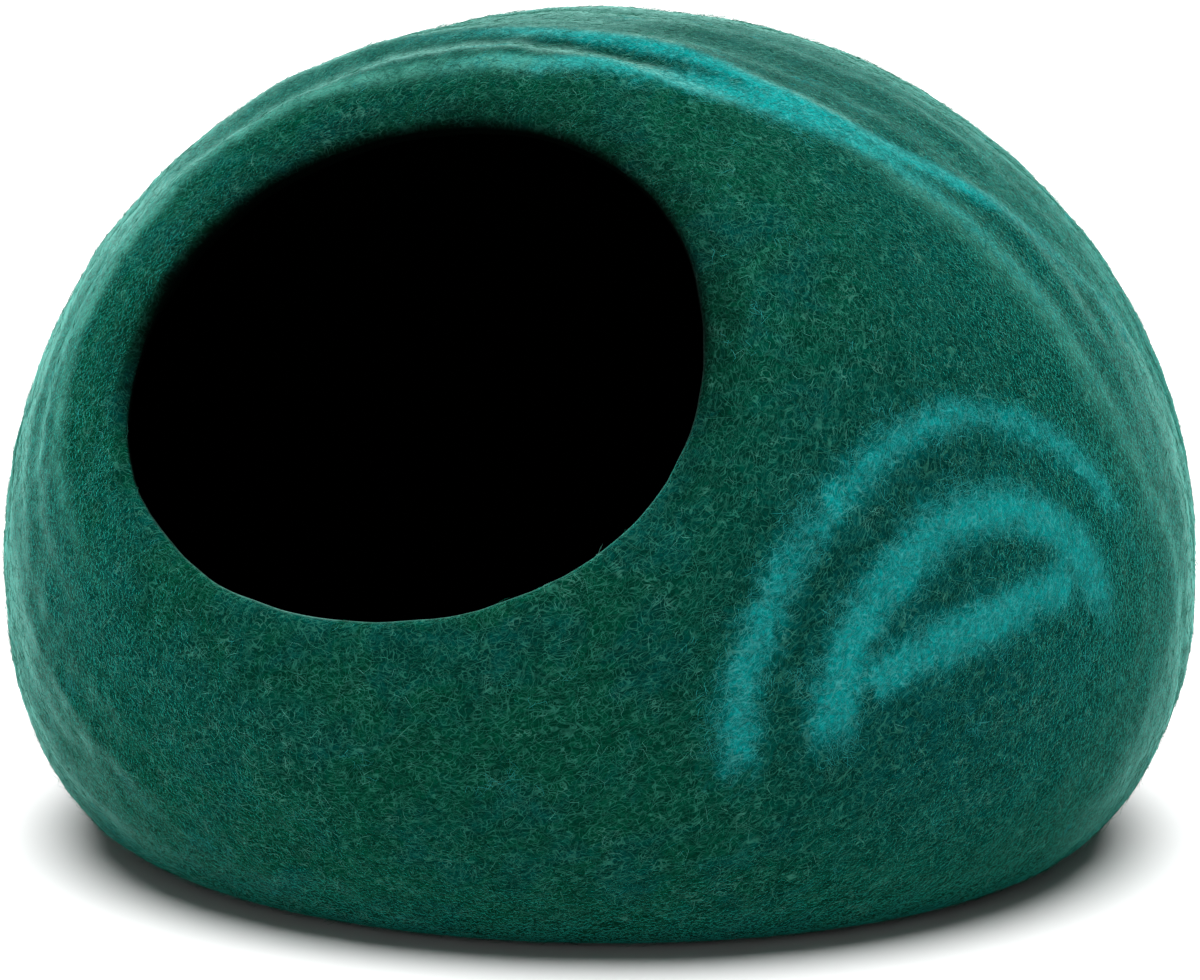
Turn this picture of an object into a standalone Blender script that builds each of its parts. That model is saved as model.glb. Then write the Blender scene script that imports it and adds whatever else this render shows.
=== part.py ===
"""A felt pet cave: one seamless shell of wet-felted wool with a round, hooded mouth.

Metres, +Z up. The origin is on the floor under the middle of the shell, and the mouth looks along
-Y. The whole outer skin is one radial function about a centre inside the cave. It is sampled on
rings that start round the mouth and end as level rings under the floor. Solidify then gives the
felt its thickness, inwards, and Bevel rounds the cut edge of the mouth.
"""

import math

import bmesh
import bpy
from mathutils import Vector

# Overall size
WIDTH = 0.400
DEPTH = 0.392
WALL = 0.007
CUT_EDGE_ROUND = 0.0030
CUT_EDGE_STEPS = 2
CUT_EDGE_ANGLE = 60.0

# Side profile: superellipse quarters above and below the widest section
CENTRE_Z = 0.089
CROWN_RISE = 0.1865
KEEL_DROP = 0.131
CROWN_POWER = 2.10
KEEL_POWER = 2.46
BLEND_SINE = 0.35
FLOOR_SOFTNESS = 0.010

# Mouth: an oval about an axis that looks forward and up, as angles seen from the centre
MOUTH_TILT = 30.0
MOUTH_HALF_WIDTH = 30.9
MOUTH_ABOVE = 31.5
MOUTH_BELOW = 24.6

# Lip: the band round the mouth that curls inwards, with its depth at the rim
LIP_BAND = 10.5
LIP_CURL = 1.5
LIP_DEPTH_TOP = 0.0135
LIP_DEPTH_SIDE = 0.0058
LIP_DEPTH_BOTTOM = 0.0050

# Hood: soft ridges and the groove between them, over the mouth. Each row has its degrees past the
# rim, the half spread of its bell, its height, the turns to the left and to the right at which it
# has faded, and how fast it drifts up the dome on the right (degrees for each square degree).
HOOD_RELIEF = (
    {"name": "brow ridge", "past": 9.0, "spread": 3.0, "height": 0.0026,
     "left_end": 125.0, "right_end": 66.0, "drift": 0.0170},
    {"name": "groove", "past": 12.8, "spread": 2.3, "height": -0.0032,
     "left_end": 75.0, "right_end": 58.0, "drift": 0.0130},
    {"name": "upper ridge", "past": 16.4, "spread": 3.2, "height": 0.0022,
     "left_end": 75.0, "right_end": 66.0, "drift": 0.0100},
)
HOOD_FADE_LENGTH = 32.0
HOOD_DRIFT_FROM = 20.0

# Hand-shaped unevenness: long, shallow swells, each with its waves round and up, and its height
SWELLS = (
    {"round": 3, "up": 2, "phase": 200.0, "height": 0.0007},
    {"round": 5, "up": 3, "phase": 160.0, "height": 0.0005},
    {"round": 2, "up": 4, "phase": 100.0, "height": 0.0005},
)

# Rings: each stretch ends at a front and a back colatitude; behind the crown the back is positive
SEGMENTS = 72
RING_STRETCHES = (
    {"name": "lip", "rings": 6, "front": 96.0, "back": -16.8},
    {"name": "hood", "rings": 7, "front": 104.5, "back": -4.5},
    {"name": "dome", "rings": 14, "front": 113.5, "back": 112.5},
    {"name": "floor edge", "rings": 4, "front": 127.0, "back": 127.0},
    {"name": "floor", "rings": 2, "front": 165.0, "back": 165.0},
)

FELT_COLOUR = (0.004, 0.108, 0.070, 1.0)
FELT_ROUGHNESS = 0.95

CENTRE = Vector((0.0, 0.0, CENTRE_Z))
TILT = math.radians(MOUTH_TILT)
MOUTH_AXIS = Vector((0.0, -math.cos(TILT), math.sin(TILT)))
MOUTH_UP = Vector((0.0, math.sin(TILT), math.cos(TILT)))


def smooth_step(value):
    """Ease from 0 to 1 as the value goes from 0 to 1."""
    value = min(max(value, 0.0), 1.0)
    return value * value * (3.0 - 2.0 * value)


def remove_scene_objects():
    """Empty the scene that the script starts in."""
    for item in list(bpy.data.objects):
        bpy.data.objects.remove(item, do_unlink=True)


def felt_material():
    """Green wool felt."""
    material = bpy.data.materials.new("green_felt")
    material.use_nodes = True
    shader = material.node_tree.nodes["Principled BSDF"]
    shader.inputs["Base Color"].default_value = FELT_COLOUR
    shader.inputs["Roughness"].default_value = FELT_ROUGHNESS
    shader.inputs["Metallic"].default_value = 0.0
    material.diffuse_color = FELT_COLOUR
    return material


def body_radius(direction):
    """Distance from the centre to the plain body, before the lip, hood and floor."""
    level = math.hypot(direction.x / (WIDTH / 2.0), direction.y / (DEPTH / 2.0))
    upper = smooth_step(0.5 + 0.5 * direction.z / BLEND_SINE)
    power = KEEL_POWER + (CROWN_POWER - KEEL_POWER) * upper
    rise = CROWN_RISE if direction.z > 0.0 else KEEL_DROP
    return (level ** power + (abs(direction.z) / rise) ** power) ** (-1.0 / power)


def mouth_angle(turn):
    """Angle from the mouth's axis to its rim, at a turn that is 0 at the top of the mouth."""
    vertical = MOUTH_ABOVE if math.cos(turn) > 0.0 else MOUTH_BELOW
    return 1.0 / math.hypot(math.cos(turn) / vertical, math.sin(turn) / MOUTH_HALF_WIDTH)


def place_from_mouth(direction):
    """Turn round the mouth's axis, and degrees past the rim, of a direction from the centre."""
    turn = math.atan2(direction.x, direction.dot(MOUTH_UP))
    from_axis = math.degrees(direction.angle(MOUTH_AXIS))
    return turn, from_axis - mouth_angle(turn)


def lip_depth(turn, past):
    """How far the lip has curled inwards."""
    share = 1.0 - past / LIP_BAND
    if share <= 0.0:
        return 0.0
    end_depth = LIP_DEPTH_TOP if math.cos(turn) > 0.0 else LIP_DEPTH_BOTTOM
    rim_depth = LIP_DEPTH_SIDE + (end_depth - LIP_DEPTH_SIDE) * math.cos(turn) ** 2
    return rim_depth * share ** LIP_CURL


def hood_relief(turn, past):
    """Height of the brow ridge, the groove and the upper ridge."""
    turned = math.degrees(turn)
    drifted = max(turned - HOOD_DRIFT_FROM, 0.0) ** 2
    height = 0.0
    for row in HOOD_RELIEF:
        crest = row["past"] + row["drift"] * drifted
        bell = math.exp(-(((past - crest) / row["spread"]) ** 2))
        end = row["right_end"] if turned > 0.0 else row["left_end"]
        fade = smooth_step((end - abs(turned)) / HOOD_FADE_LENGTH)
        height += row["height"] * bell * fade
    return height


def swell_height(direction):
    """Height of the hand-shaped unevenness."""
    azimuth = math.atan2(direction.x, -direction.y)
    latitude = math.asin(direction.z)
    height = 0.0
    for row in SWELLS:
        wave = math.cos(row["round"] * azimuth + math.radians(row["phase"]))
        height += row["height"] * wave * math.cos(row["up"] * latitude) * math.cos(latitude)
    return height


def pressed_height(height):
    """Flatten what would lie below the floor, with a soft edge."""
    if height <= -FLOOR_SOFTNESS:
        return 0.0
    if height < FLOOR_SOFTNESS:
        return (height + FLOOR_SOFTNESS) ** 2 / (4.0 * FLOOR_SOFTNESS)
    return height


def skin_point(direction):
    """Point of the outer skin in a direction from the centre."""
    turn, past = place_from_mouth(direction)
    radius = body_radius(direction) - lip_depth(turn, past) + hood_relief(turn, past)
    point = CENTRE + direction * (radius + swell_height(direction))
    point.z = pressed_height(point.z)
    return point


def ring_limits():
    """Front and back colatitude of each ring, from the mouth's rim to the last floor ring."""
    front = 90.0 - MOUTH_TILT + MOUTH_BELOW
    back = MOUTH_TILT + MOUTH_ABOVE - 90.0
    limits = [(front, back)]
    for stretch in RING_STRETCHES:
        for step in range(1, stretch["rings"] + 1):
            share = step / stretch["rings"]
            limits.append((front + (stretch["front"] - front) * share,
                           back + (stretch["back"] - back) * share))
        front, back = stretch["front"], stretch["back"]
    return limits


def rim_direction(turn):
    """Direction from the centre to the mouth's rim."""
    angle = math.radians(mouth_angle(turn))
    around = MOUTH_UP * math.cos(turn) + Vector((math.sin(turn), 0.0, 0.0))
    return MOUTH_AXIS * math.cos(angle) + around * math.sin(angle)


def ring_direction(front, back, turn):
    """Direction to a ring: a circle through its front and back colatitudes.

    The circle is drawn on the plane onto which the sphere of directions is projected from its
    lowest point, where level rings are circles about the crown.
    """
    front_end = math.tan(math.radians(front) / 2.0)
    back_end = math.tan(math.radians(back) / 2.0)
    radius = (front_end + back_end) / 2.0
    middle = (back_end - front_end) / 2.0
    across = radius * math.sin(turn)
    along = middle + radius * math.cos(turn)
    square = across * across + along * along
    return Vector((2.0 * across, 2.0 * along, 1.0 - square)) / (1.0 + square)


def skin_directions():
    """Rows of directions, a ring each, which start on the mouth's oval and soon become circles."""
    limits = ring_limits()
    oval_rings = RING_STRETCHES[0]["rings"] + RING_STRETCHES[1]["rings"]
    turns = [2.0 * math.pi * segment / SEGMENTS for segment in range(SEGMENTS)]
    first_ring = [ring_direction(*limits[0], turn) for turn in turns]
    oval_offsets = [rim_direction(place_from_mouth(start)[0]) - start for start in first_ring]
    rows = []
    for index, (front, back) in enumerate(limits):
        oval_share = 1.0 - smooth_step(index / oval_rings)
        rows.append([(ring_direction(front, back, turn) + offset * oval_share).normalized()
                     for turn, offset in zip(turns, oval_offsets)])
    return rows


def skin_rings():
    """Rings of outer skin points, moved so that the origin is under the middle of the shell."""
    rings = [[skin_point(direction) for direction in row] for row in skin_directions()]
    across = [point.x for ring in rings for point in ring]
    along = [point.y for ring in rings for point in ring]
    middle = Vector((min(across) + max(across), min(along) + max(along), 0.0)) / 2.0
    return [[point - middle for point in ring] for ring in rings]


def add_skin(mesh):
    """Fill the mesh with the outer skin: quads between the rings and a fan in the floor."""
    work = bmesh.new()
    rings = [[work.verts.new(point) for point in ring] for ring in skin_rings()]
    for ring, next_ring in zip(rings, rings[1:]):
        for segment in range(SEGMENTS):
            after = (segment + 1) % SEGMENTS
            work.faces.new((ring[segment], ring[after], next_ring[after], next_ring[segment]))
    floor_middle = work.verts.new((0.0, 0.0, 0.0))
    last_ring = rings[-1]
    for segment in range(SEGMENTS):
        after = (segment + 1) % SEGMENTS
        work.faces.new((last_ring[segment], last_ring[after], floor_middle))
    work.to_mesh(mesh)
    work.free()


def build_felt_cave():
    """The felt shell, with its wall thickness and the round cut edge of the mouth."""
    mesh = bpy.data.meshes.new("felt_cave")
    add_skin(mesh)
    mesh.materials.append(felt_material())
    mesh.shade_smooth()
    cave = bpy.data.objects.new("felt_cave", mesh)
    bpy.context.scene.collection.objects.link(cave)

    wall = cave.modifiers.new("wall", "SOLIDIFY")
    wall.thickness = WALL
    wall.offset = -1.0
    wall.use_even_offset = True
    wall.use_rim = True

    edge = cave.modifiers.new("cut edge", "BEVEL")
    edge.limit_method = "ANGLE"
    edge.angle_limit = math.radians(CUT_EDGE_ANGLE)
    edge.width = CUT_EDGE_ROUND
    edge.segments = CUT_EDGE_STEPS
    return cave


remove_scene_objects()
build_felt_cave()
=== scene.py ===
"""Looks of a wet-felted wool pet cave: one seamless shell with a hooded mouth and teal bands.

Metres, +Z up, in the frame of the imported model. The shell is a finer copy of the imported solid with
the hand-made unevenness of felt pressed into it. Loose wool lies over it as thousands of short,
curly fibres. The mouth looks along -Y and upward. Places on the skin are given round the mouth, in
degrees as seen from the middle of the cave: the turn, which is 0 over the mouth and positive to
+X, and how far past the rim they lie.
"""

import logging
import math
from dataclasses import dataclass, field
from enum import Enum
from typing import Any, Sequence

import bpy
import numpy as np
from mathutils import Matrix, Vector, noise
from mathutils.bvhtree import BVHTree


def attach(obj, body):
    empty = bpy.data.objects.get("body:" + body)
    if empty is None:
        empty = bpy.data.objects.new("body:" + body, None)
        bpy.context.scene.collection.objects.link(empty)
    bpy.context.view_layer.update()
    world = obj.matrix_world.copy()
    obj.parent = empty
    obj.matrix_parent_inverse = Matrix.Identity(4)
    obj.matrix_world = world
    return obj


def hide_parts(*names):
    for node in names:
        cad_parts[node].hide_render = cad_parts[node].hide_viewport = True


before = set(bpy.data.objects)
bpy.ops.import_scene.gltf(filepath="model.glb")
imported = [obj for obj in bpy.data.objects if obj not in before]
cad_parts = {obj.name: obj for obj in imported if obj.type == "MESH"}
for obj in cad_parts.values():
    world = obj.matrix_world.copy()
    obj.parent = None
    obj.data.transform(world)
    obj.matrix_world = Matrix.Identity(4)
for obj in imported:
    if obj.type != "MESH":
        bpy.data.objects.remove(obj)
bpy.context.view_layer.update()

LOG = logging.getLogger("felt_cave")
NODE = "felt_cave"
BODY = "root"
STRAND_SIDES = 3

Triple = tuple[float, float, float]
Span = tuple[float, float]


def from_screen(red: int, green: int, blue: int) -> Triple:
    """Linear colour of three values from 0 to 255 as a screen shows them, by the sRGB curve."""
    shares = [value / 255.0 for value in (red, green, blue)]
    return tuple(s / 12.92 if s <= 0.04045 else ((s + 0.055) / 1.055) ** 2.4 for s in shares)


def smooth(values: np.ndarray, low: float, high: float) -> np.ndarray:
    """Ease from 0 at low to 1 at high; low may be the larger.

    Args:
        values: The numbers to ease.
        low: Where the result is 0.
        high: Where the result is 1.

    Returns:
        Numbers from 0 to 1.
    """
    share = np.clip((values - low) / (high - low), 0.0, 1.0)
    return share * share * (3.0 - 2.0 * share)


def unit(rows: np.ndarray) -> np.ndarray:
    """Rows scaled to length one."""
    return rows / np.maximum(np.linalg.norm(rows, axis=-1, keepdims=True), 1e-12)


def plus_share(pair: Span, share: np.ndarray) -> np.ndarray:
    """The first of a pair, plus the second times a share."""
    return pair[0] + pair[1] * share


@dataclass(frozen=True)
class Ease:
    """An amount that comes in smoothly from start to end, either of which may be the larger."""

    amount: float
    start: float
    end: float

    def at(self, values: np.ndarray) -> np.ndarray:
        """The amount reached at each value."""
        return self.amount * smooth(values, self.start, self.end)


NO_EASE = Ease(0.0, 0.0, 1.0)


@dataclass(frozen=True)
class Bend:
    """A level run that turns into a climb past its start."""

    start: float
    ease: float
    slope: float

    def at(self, values: np.ndarray) -> np.ndarray:
        """How far the run has climbed at each value."""
        return self.slope * self.ease * np.log1p(np.exp((values - self.start) / self.ease))


@dataclass(frozen=True)
class Reach:
    """Where something is laid: it comes in over one span and goes out over another."""

    rise: Span
    fall: Span
    strength: float = 1.0

    def at(self, values: np.ndarray, share: float | np.ndarray = 1.0) -> np.ndarray:
        """How much is laid at each value.

        Args:
            values: The places, in the units of the spans.
            share: A factor, or one for each place.

        Returns:
            Numbers from 0 to the strength.
        """
        come = self.strength * share * smooth(values, *self.rise)
        return come * smooth(values, self.fall[1], self.fall[0])


@dataclass(frozen=True)
class Layout:
    """Where the mouth, the lines of the hood and the swirl are, as the solid has them.

    Lengths are metres and angles are degrees. The mouth's half sizes and its lines are as seen
    from the centre.
    """

    centre: Triple = (0.0, 0.0, 0.089)
    mean_radius: float = 0.19
    mouth_tilt: float = 30.0
    mouth_half_width: float = 30.9
    mouth_above: float = 31.5
    mouth_below: float = 24.6
    overhead_cosines: Span = (-0.5, 0.3)
    crest_past: float = 6.6
    crest_rise: float = 0.0066
    crest_left: Ease = Ease(1.4, -10.0, -50.0)
    upper_past: float = 14.4
    upper_rise: float = 0.0030
    upper_bend: Bend = Bend(46.0, 3.0, 1.3)
    swirl_azimuth: float = 61.0
    swirl_height: float = 0.100
    swirl_radius: float = 0.195
    swirl_stretch: float = 1.28
    swirl_reach: float = 0.075

    def directions(self, points: np.ndarray) -> np.ndarray:
        """Directions to points from the centre of the cave."""
        return unit(points - np.array(self.centre))

    def outwardness(self, points: np.ndarray, normals: np.ndarray) -> np.ndarray:
        """How far normals at points look away from the centre: 1 straight out, -1 straight in."""
        return np.sum(self.directions(points) * normals, axis=1)

    def mouth_axis(self) -> np.ndarray:
        """Direction in which the mouth looks."""
        tilt = math.radians(self.mouth_tilt)
        return np.array((0.0, -math.cos(tilt), math.sin(tilt)))

    def from_mouth(self, points: np.ndarray) -> tuple[np.ndarray, np.ndarray]:
        """Place of points round the mouth.

        Args:
            points: Points, a row each.

        Returns:
            Turn in degrees, 0 over the mouth and positive to +X, and degrees past its rim.
        """
        tilt = math.radians(self.mouth_tilt)
        upward = np.array((0.0, math.sin(tilt), math.cos(tilt)))
        ways = self.directions(points)
        turn = np.arctan2(ways[:, 0], ways @ upward)
        vertical = np.where(np.cos(turn) > 0.0, self.mouth_above, self.mouth_below)
        rim = 1.0 / np.hypot(np.cos(turn) / vertical, np.sin(turn) / self.mouth_half_width)
        away = np.degrees(np.arccos(np.clip(ways @ self.mouth_axis(), -1.0, 1.0)))
        return np.degrees(turn), away - rim

    def overhead(self, turn: np.ndarray) -> np.ndarray:
        """1 over the mouth and 0 under it."""
        return smooth(np.cos(np.radians(turn)), *self.overhead_cosines)

    def crest_line(self, turn: np.ndarray) -> np.ndarray:
        """Degrees past the rim at which the brow's band runs: level, then ever steeper."""
        right = np.maximum(turn, 0.0)
        return self.crest_past + self.crest_rise * right ** 2 + self.crest_left.at(turn)

    def upper_line(self, turn: np.ndarray) -> np.ndarray:
        """Degrees past the rim at which the band above the groove runs."""
        right = np.maximum(turn, 0.0)
        return self.upper_past + self.upper_rise * right ** 2 + self.upper_bend.at(turn)

    def flow(self, points: np.ndarray) -> np.ndarray:
        """Coordinates that run with the wool round the mouth, without a seam.

        Args:
            points: Points, a row each.

        Returns:
            Cosine and sine of the turn round the mouth, and metres past its rim.
        """
        turn, past = self.from_mouth(points)
        around = np.radians(turn)
        metres = np.radians(past) * self.mean_radius
        return np.stack((np.cos(around), np.sin(around), metres), axis=1)

    def from_swirl(self, points: np.ndarray) -> tuple[np.ndarray, np.ndarray]:
        """Place of points on the side, measured along the surface from the swirl's middle.

        Args:
            points: Points, a row each.

        Returns:
            Metres towards the back and metres upwards.
        """
        azimuth = np.degrees(np.arctan2(points[:, 0], -points[:, 1])) - self.swirl_azimuth
        azimuth = (azimuth + 180.0) % 360.0 - 180.0
        flat = np.hypot(points[:, 0], points[:, 1])
        slope = np.arctan2(points[:, 2] - self.swirl_height, flat)
        aside = np.radians(azimuth) * self.swirl_radius * (flat / self.swirl_radius) ** 0.5
        return aside, slope * self.swirl_radius


@dataclass(frozen=True)
class Stroke:
    """A soft stroke of teal wool on the right side: part of an oval drawn on the surface.

    The oval's middle and reach are metres towards the back and upwards, and its start and end are
    degrees round it. The half widths and the fades are metres, at the start and at the end. A lean
    over 1 draws the oval in between its four points.
    """

    middle: Span
    reach: Span
    start: float
    end: float
    half_width: Span
    strength: float
    lean: float = 1.0
    fade: Span = (0.014, 0.014)

    def along(self, steps: int = 80) -> np.ndarray:
        """Points of its centreline.

        Args:
            steps: How many.

        Returns:
            Metres towards the back and upwards, a row each.
        """
        angles = np.radians(np.linspace(self.start, self.end, steps))
        across, up = (np.sign(wave) * np.abs(wave) ** self.lean
                      for wave in (np.cos(angles), np.sin(angles)))
        return np.stack((self.middle[0] + self.reach[0] * across,
                         self.middle[1] + self.reach[1] * up), axis=1)

    def cover(self, aside: np.ndarray, upward: np.ndarray) -> np.ndarray:
        """How strongly it covers places.

        Args:
            aside: Metres towards the back from the middle of the side.
            upward: Metres upwards.

        Returns:
            Strength from 0 to the stroke's own.
        """
        line = self.along()
        run = np.concatenate(((0.0,), np.cumsum(np.linalg.norm(np.diff(line, axis=0), axis=1))))
        nearest, least = np.zeros(len(aside)), np.full(len(aside), np.inf)
        for step, (across, up) in enumerate(line):
            gap = np.hypot(aside - across, upward - up)
            closer = gap < least
            least[closer], nearest[closer] = gap[closer], run[step]
        ends = smooth(nearest, 0.0, self.fade[0])
        ends *= smooth(nearest, run[-1], run[-1] - self.fade[1])
        width = np.interp(nearest, (0.0, run[-1]), self.half_width)
        return self.strength * np.exp(-((least / width) ** 2.0)) * ends


@dataclass(frozen=True)
class Band:
    """How teal wool is laid along a line of the hood, in degrees round and past the mouth."""

    half_width: float
    wider: Ease
    reach: Reach
    thinner: Ease
    edge: float = 2.0
    narrower: Ease = NO_EASE
    drift: Ease = NO_EASE

    def cover(self, turn: np.ndarray, aside: np.ndarray) -> np.ndarray:
        """How strongly the band covers places.

        Args:
            turn: Degrees round the mouth.
            aside: Degrees past the band's line.

        Returns:
            Strength from 0 to 1.
        """
        width = self.half_width + self.wider.at(turn) - self.narrower.at(turn)
        gap = (aside - self.drift.at(turn)) / width
        laid = np.exp(-np.abs(gap) ** self.edge) * self.reach.at(turn)
        return laid * (1.0 - self.thinner.at(turn))


@dataclass(frozen=True)
class TealWool:
    """Teal wool laid over the green: two bands along the hood and arches on the right side."""

    layout: Layout
    brow: Band = Band(1.1, Ease(2.3, 4.0, 30.0), Reach((-34.0, 16.0), (60.0, 96.0)),
                      thinner=Ease(0.45, 44.0, 60.0), narrower=Ease(1.6, 40.0, 54.0),
                      drift=Ease(0.8, 6.0, 22.0))
    upper: Band = Band(1.5, Ease(1.3, 34.0, 52.0), Reach((-34.0, 10.0), (60.0, 76.0)),
                       thinner=Ease(0.50, 50.0, 60.0), edge=2.4)
    strokes: tuple[Stroke, ...] = (
        Stroke((0.001, -0.020), (0.084, 0.0868), 203.0, 12.0, (0.0098, 0.0062), 0.82,
               1.14, (0.028, 0.056)),
        Stroke((0.004, -0.019), (0.057, 0.0560), 206.0, -2.0, (0.0104, 0.0088), 1.04,
               1.14, (0.026, 0.036)),
        Stroke((0.1095, -0.4191), (0.437, 0.437), 98.3, 110.7, (0.0088, 0.0104), 1.02,
               1.0, (0.014, 0.006)),
    )
    haze_squash: float = 0.92
    haze_height: float = 0.008
    haze_radius: float = 0.082
    haze_over: Ease = Ease(0.78, -3.0, 3.0)
    haze_over_heights: Span = (0.04, 0.10)
    haze_flank: Reach = Reach((20.0, 50.0), (96.0, 124.0), 0.60)
    haze_flank_past: Span = (7.0, 24.0)

    def on_brow(self, turn: np.ndarray, past: np.ndarray) -> np.ndarray:
        """Strength of the band that follows the brow and runs on down the flank."""
        return self.brow.cover(turn, past - self.layout.crest_line(turn))

    def above_groove(self, turn: np.ndarray, past: np.ndarray) -> np.ndarray:
        """Strength of the band above the groove, which thins out towards the back."""
        return self.upper.cover(turn, past - self.layout.upper_line(turn))

    def arches(self, points: np.ndarray) -> np.ndarray:
        """Strength of the arches on the right side."""
        aside, upward = self.layout.from_swirl(points)
        return np.max([stroke.cover(aside, upward) for stroke in self.strokes], axis=0)

    def strength(self, points: np.ndarray) -> np.ndarray:
        """Strength of teal at points.

        Args:
            points: Points, a row each.

        Returns:
            Strengths from 0 to about 1.
        """
        turn, past = self.layout.from_mouth(points)
        hood = np.maximum(self.on_brow(turn, past), self.above_groove(turn, past))
        return np.maximum(hood, self.arches(points))

    def haze(self, points: np.ndarray) -> np.ndarray:
        """How far the green itself turns to teal: on the side, over the back and on the flank.

        Args:
            points: Points, a row each.

        Returns:
            Shares from 0 to 1.
        """
        aside, upward = self.layout.from_swirl(points)
        away = np.hypot(aside * self.haze_squash, upward - self.haze_height)
        side = np.exp(-((away / self.haze_radius) ** 4))
        turn, past = self.layout.from_mouth(points)
        over = self.haze_over.at(past - self.layout.crest_line(turn))
        over *= smooth(points[:, 2], *self.haze_over_heights)
        flank = self.haze_flank.at(turn, smooth(past, *self.haze_flank_past))
        return np.max((side, over, flank), axis=0)


@dataclass(frozen=True)
class PaleWool:
    """Paler wool in the green: streaks over the back and bloom beside the bands; and where the painted
    sheen lies.

    A pair that plus_share reads holds a base and what is added to it: the painted sheen has more
    behind the bands, and the hollow over the groove grows wider with the turn.
    """

    layout: Layout
    streak_width: float = 4.2
    streak_length: float = 34.0
    streak_layer: float = 3.7
    streak_contrast: float = 2.2
    bloom_wider: Ease = Ease(1.6, 30.0, 60.0)
    bloom_climb: Bend = Bend(80.0, 2.0, 1.5)
    bloom_left: Reach = Reach((-135.0, -95.0), (-6.0, 30.0), 0.88)
    bloom_right: Reach = Reach((38.0, 56.0), (88.0, 112.0), 0.55)
    dome_bloom: Ease = Ease(0.34, 2.0, 5.0)
    dome_fade: Span = (44.0, 16.0)
    dome_turns: Reach = Reach((-125.0, -85.0), (-34.0, 4.0))
    low_past: Reach = Reach((59.0, 66.0), (68.0, 86.0))
    low_turns: Reach = Reach((78.0, 92.0), (104.0, 124.0), 0.32)
    # Painted sheen: more behind the bands and less low down; the hollow and the flank take some away.
    sheen_amount: Span = (0.85, 0.25)
    sheen_past: Span = (-4.0, 6.0)
    sheen_streaks: Span = (0.34, 0.60)
    sheen_heights: Span = (0.005, 0.050)
    hollow_start: Span = (1.0, 3.0)
    hollow_width: Span = (6.0, 0.45)
    hollow_end: Span = (1.6, 0.7)
    hollow_turns: Span = (0.0, 14.0)
    hollow_loss: float = 0.62
    flank_turns: Span = (76.0, 88.0)
    flank_past: Span = (65.0, 58.0)
    flank_loss: float = 0.6

    def streaks(self, points: np.ndarray) -> np.ndarray:
        """Long light and dark streaks of wool that run beside the bands.

        Args:
            points: Points, a row each.

        Returns:
            Numbers from -1, dark, to 1, light.
        """
        turn, past = self.layout.from_mouth(points)
        aside = (past - self.layout.crest_line(turn)) / self.streak_width
        layer = np.full(len(turn), self.streak_layer)
        rows = np.stack((aside, turn / self.streak_length, layer), axis=1)
        lumps = np.array([noise.noise(Vector(row)) for row in rows])
        return np.clip(self.streak_contrast * lumps, -1.0, 1.0)

    def bloom(self, points: np.ndarray) -> np.ndarray:
        """Strength of the pale wool along the brow on the left, down the right, and in patches.

        Args:
            points: Points, a row each.

        Returns:
            Strengths from 0 to about 1.
        """
        turn, past = self.layout.from_mouth(points)
        beyond = past - self.layout.crest_line(turn)
        gap = (beyond - self.bloom_climb.at(turn)) / (1.0 + self.bloom_wider.at(turn))
        line = np.exp(-gap ** 2) * (self.bloom_left.at(turn) + self.bloom_right.at(turn))
        patches = self.dome_bloom.at(beyond) * smooth(past, *self.dome_fade)
        patches *= self.dome_turns.at(turn)
        patches += self.low_turns.at(turn, self.low_past.at(past))
        return line + patches

    def frost(self, points: np.ndarray) -> np.ndarray:
        """How much painted sheen goes where the skin turns away: a pale colour standing in for light
        on the wool, fading out low down where less light falls.

        Args:
            points: Points, a row each.

        Returns:
            Shares, about 1 where the nap is full.
        """
        turn, past = self.layout.from_mouth(points)
        behind = smooth(past - self.layout.crest_line(turn), *self.sheen_past)
        streaks = self.streaks(points) * behind
        streaky = 1.0 + np.where(streaks < 0.0, *self.sheen_streaks) * streaks
        above = past - self.layout.upper_line(turn)
        reach = plus_share(self.hollow_width, np.maximum(turn, 0.0))
        hollow = smooth(above, *self.hollow_start) * smooth(above / reach, *self.hollow_end)
        hollow *= smooth(turn, *self.hollow_turns)
        flank = smooth(turn, *self.flank_turns) * smooth(past, *self.flank_past)
        # The painted sheen fades out towards the floor, where less light falls.
        low = smooth(points[:, 2], *self.sheen_heights)
        full = streaky * low * plus_share(self.sheen_amount, behind)
        return full * (1.0 - self.hollow_loss * hollow) * (1.0 - self.flank_loss * flank)


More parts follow.
